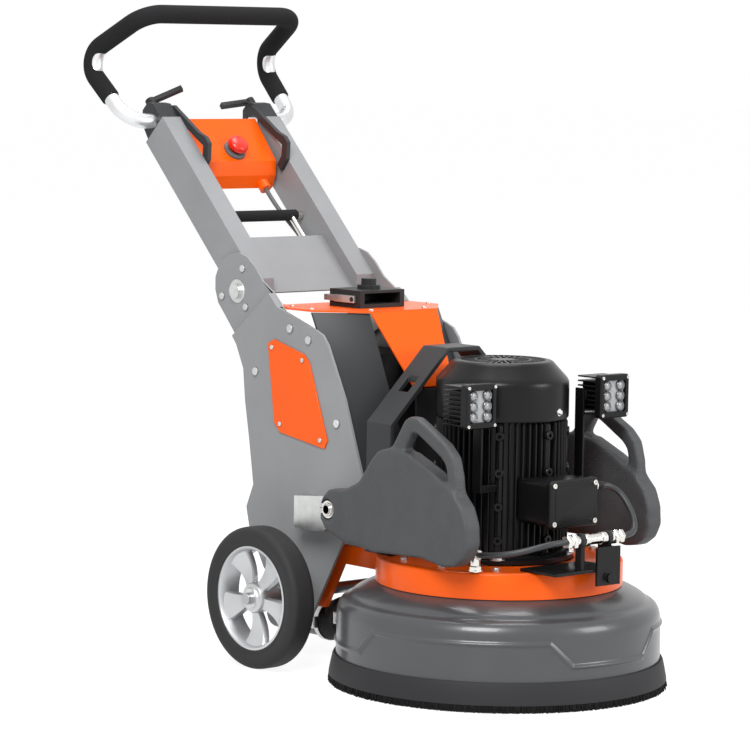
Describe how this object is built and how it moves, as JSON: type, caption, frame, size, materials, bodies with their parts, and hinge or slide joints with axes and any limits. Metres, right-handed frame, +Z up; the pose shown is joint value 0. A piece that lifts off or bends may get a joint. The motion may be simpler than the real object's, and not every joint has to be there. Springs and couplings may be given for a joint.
{
  "type": "concrete grinder",
  "caption": "Walk-behind floor grinder: planetary disc head under a vertical motor, swing-up side weights, two wheels, folding handle with an adjustable loop bar.",
  "frame": {"origin": "bottom centre of the whole machine's box, on the floor", "axes": "+Z up, -Y towards the grinding head at the front, +Y towards the operator, +X to the right seen from the front"},
  "size_m": [0.56, 1.1568, 1.1105],
  "materials": {
    "grey_paint": "satin powder coat",
    "orange_paint": "gloss powder coat",
    "dark_cover": "fine textured coat",
    "motor_black": "semi-gloss enamel on castings",
    "cast_weight": "textured coat on a sand casting",
    "zinc": "zinc plated",
    "steel": "machined",
    "copper_steel": "laminated core",
    "aluminium_bar": "satin anodised tube",
    "wheel_aluminium": "cast and turned",
    "tyre": "solid rubber",
    "skirt_rubber": "rubber lip with a brush",
    "foam": "foam sleeve",
    "cable": "grey sheath",
    "hose_black": "corrugated hose",
    "black_plastic": "moulded",
    "stop_red": "moulded",
    "converter": "cast case",
    "lamp_body": "black coated",
    "nickel": "nickel plated"
  },
  "bodies": {
    "chassis": {"right_side_plate": "grey_paint", "left_side_plate": "grey_paint", "rear_panel": "grey_paint", "inset_panels": "orange_paint", "hood": "orange_paint", "front_covers": "dark_cover", "lower_frame": "orange_paint", "axle": "steel", "shroud": "dark_cover", "floor_skirt": "skirt_rubber", "gear_housing": "orange_paint", "ring_gear": "steel", "fixed_bearings": "steel", "motor_frame": "motor_black", "stator_core": "copper_steel", "fan_cover": "motor_black", "terminal_box": "motor_black", "hose_fittings": "nickel", "motor_lead": "cable", "supply_hose": "cable", "motor_brackets": "motor_black", "lifting_arch": "dark_cover", "weight_hangers": "zinc", "drive_unit": "converter", "power_inlet": "black_plastic", "dust_outlet": "hose_black", "chassis_bolts": "zinc", "wheel_bearings": "steel"},
    "handle": {"handle_frame": "grey_paint", "control_box": "orange_paint", "handle_fittings": "dark_cover", "control_cable": "cable"},
    "handlebar": {"handlebar_tube": "aluminium_bar", "handlebar_grip": "foam"},
    "lever_right": {"right_clamp_lever": "black_plastic"},
    "lever_left": {"left_clamp_lever": "black_plastic"},
    "release": {"release_bar": "nickel"},
    "stop": {"stop_button": "stop_red"},
    "switch": {"main_switch": "stop_red"},
    "bail": {"connector_bail": "zinc"},
    "planet_carrier": {"carrier": "steel", "carrier_bearings": "steel"},
    "disc_1": {"disc_spindle_1": "steel", "grinding_disc_1": "steel"},
    "disc_2": {"disc_spindle_2": "steel", "grinding_disc_2": "steel"},
    "disc_3": {"disc_spindle_3": "steel", "grinding_disc_3": "steel"},
    "rotor": {"rotor_and_fan": "copper_steel", "sun_gear": "steel"},
    "wheel_right": {"right_tyre": "tyre", "right_rim": "wheel_aluminium"},
    "wheel_left": {"left_tyre": "tyre", "left_rim": "wheel_aluminium"},
    "weight_right": {"right_weight": "cast_weight"},
    "weight_left": {"left_weight": "cast_weight"},
    "latch_right": {"right_plunger": "black_plastic"},
    "latch_left": {"left_plunger": "black_plastic"},
    "lamp_right": {"right_lamp": "lamp_body"},
    "lamp_left": {"left_lamp": "lamp_body"}
  },
  "joints": [
    {"name": "handle_fold", "type": "hinge", "parent": "chassis", "child": "handle", "pos_m": [0, 0.223, 0.619], "axis": [1, 0, 0], "range_deg": [-25, 95]},
    {"name": "handlebar_tilt", "type": "hinge", "parent": "handle", "child": "handlebar", "pos_m": [0, 0.47415, 0.90502], "axis": [1, 0, 0], "range_deg": [-40, 40]},
    {"name": "clamp_lever_right", "type": "hinge", "parent": "handle", "child": "lever_right", "pos_m": [0.114, 0.20733, 0.63445], "axis": [0, 0.7022, 0.712], "range_deg": [-60, 60]},
    {"name": "clamp_lever_left", "type": "hinge", "parent": "handle", "child": "lever_left", "pos_m": [-0.114, 0.20733, 0.63445], "axis": [0, 0.7022, 0.712], "range_deg": [-60, 60]},
    {"name": "release_pull", "type": "slide", "parent": "handle", "child": "release", "axis": [0, 0.7022, 0.712], "range_m": [0, 0.015], "stiffness_N_per_m": 1000, "springref_m": -0.01},
    {"name": "stop_press", "type": "slide", "parent": "handle", "child": "stop", "axis": [0, 0.712, -0.7022], "range_m": [0, 0.005], "stiffness_N_per_m": 600, "springref_m": -0.004},
    {"name": "main_switch_turn", "type": "hinge", "parent": "chassis", "child": "switch", "pos_m": [-0.096, 0.195, 0.424], "axis": [0, 1, 0], "range_deg": [0, 90]},
    {"name": "inlet_bail", "type": "hinge", "parent": "chassis", "child": "bail", "pos_m": [0, 0.018, 0.615], "axis": [1, 0, 0], "range_deg": [0, 175]},
    {"name": "carrier_spin", "type": "hinge", "parent": "chassis", "child": "planet_carrier", "pos_m": [0, -0.3, 0.15], "axis": [0, 0, 1], "continuous": true},
    {"name": "rotor_spin", "type": "hinge", "parent": "chassis", "child": "rotor", "pos_m": [0, -0.3, 0.3], "axis": [0, 0, 1], "continuous": true},
    {"name": "disc_spin_1", "type": "hinge", "parent": "planet_carrier", "child": "disc_1", "pos_m": [0, -0.165, 0.1], "axis": [0, 0, 1], "continuous": true},
    {"name": "disc_spin_2", "type": "hinge", "parent": "planet_carrier", "child": "disc_2", "pos_m": [-0.11691, -0.3675, 0.1], "axis": [0, 0, 1], "continuous": true},
    {"name": "disc_spin_3", "type": "hinge", "parent": "planet_carrier", "child": "disc_3", "pos_m": [0.11691, -0.3675, 0.1], "axis": [0, 0, 1], "continuous": true},
    {"name": "wheel_right_spin", "type": "hinge", "parent": "chassis", "child": "wheel_right", "pos_m": [0.24, 0.029, 0.12], "axis": [1, 0, 0], "continuous": true},
    {"name": "weight_right_lift", "type": "hinge", "parent": "chassis", "child": "weight_right", "pos_m": [0.205, -0.115, 0.283], "axis": [-1, 0, 0], "range_deg": [0, 100]},
    {"name": "latch_right_push", "type": "slide", "parent": "chassis", "child": "latch_right", "axis": [1, 0, 0], "range_m": [0, 0.008]},
    {"name": "lamp_right_tilt", "type": "hinge", "parent": "chassis", "child": "lamp_right", "pos_m": [0.15, -0.366, 0.476], "axis": [1, 0, 0], "range_deg": [-30, 40]},
    {"name": "wheel_left_spin", "type": "hinge", "parent": "chassis", "child": "wheel_left", "pos_m": [-0.24, 0.029, 0.12], "axis": [1, 0, 0], "continuous": true},
    {"name": "weight_left_lift", "type": "hinge", "parent": "chassis", "child": "weight_left", "pos_m": [-0.205, -0.115, 0.283], "axis": [-1, 0, 0], "range_deg": [0, 100]},
    {"name": "latch_left_push", "type": "slide", "parent": "chassis", "child": "latch_left", "axis": [-1, 0, 0], "range_m": [0, 0.008]},
    {"name": "lamp_left_tilt", "type": "hinge", "parent": "chassis", "child": "lamp_left", "pos_m": [-0.15, -0.366, 0.476], "axis": [1, 0, 0], "range_deg": [-30, 40]}
  ],
  "couplings": [
    {"joint": "rotor_spin", "follows": "carrier_spin", "ratio": 2.9032},
    {"joint": "disc_spin_1", "follows": "carrier_spin", "ratio": -4.2143},
    {"joint": "disc_spin_2", "follows": "carrier_spin", "ratio": -4.2143},
    {"joint": "disc_spin_3", "follows": "carrier_spin", "ratio": -4.2143}
  ]
}
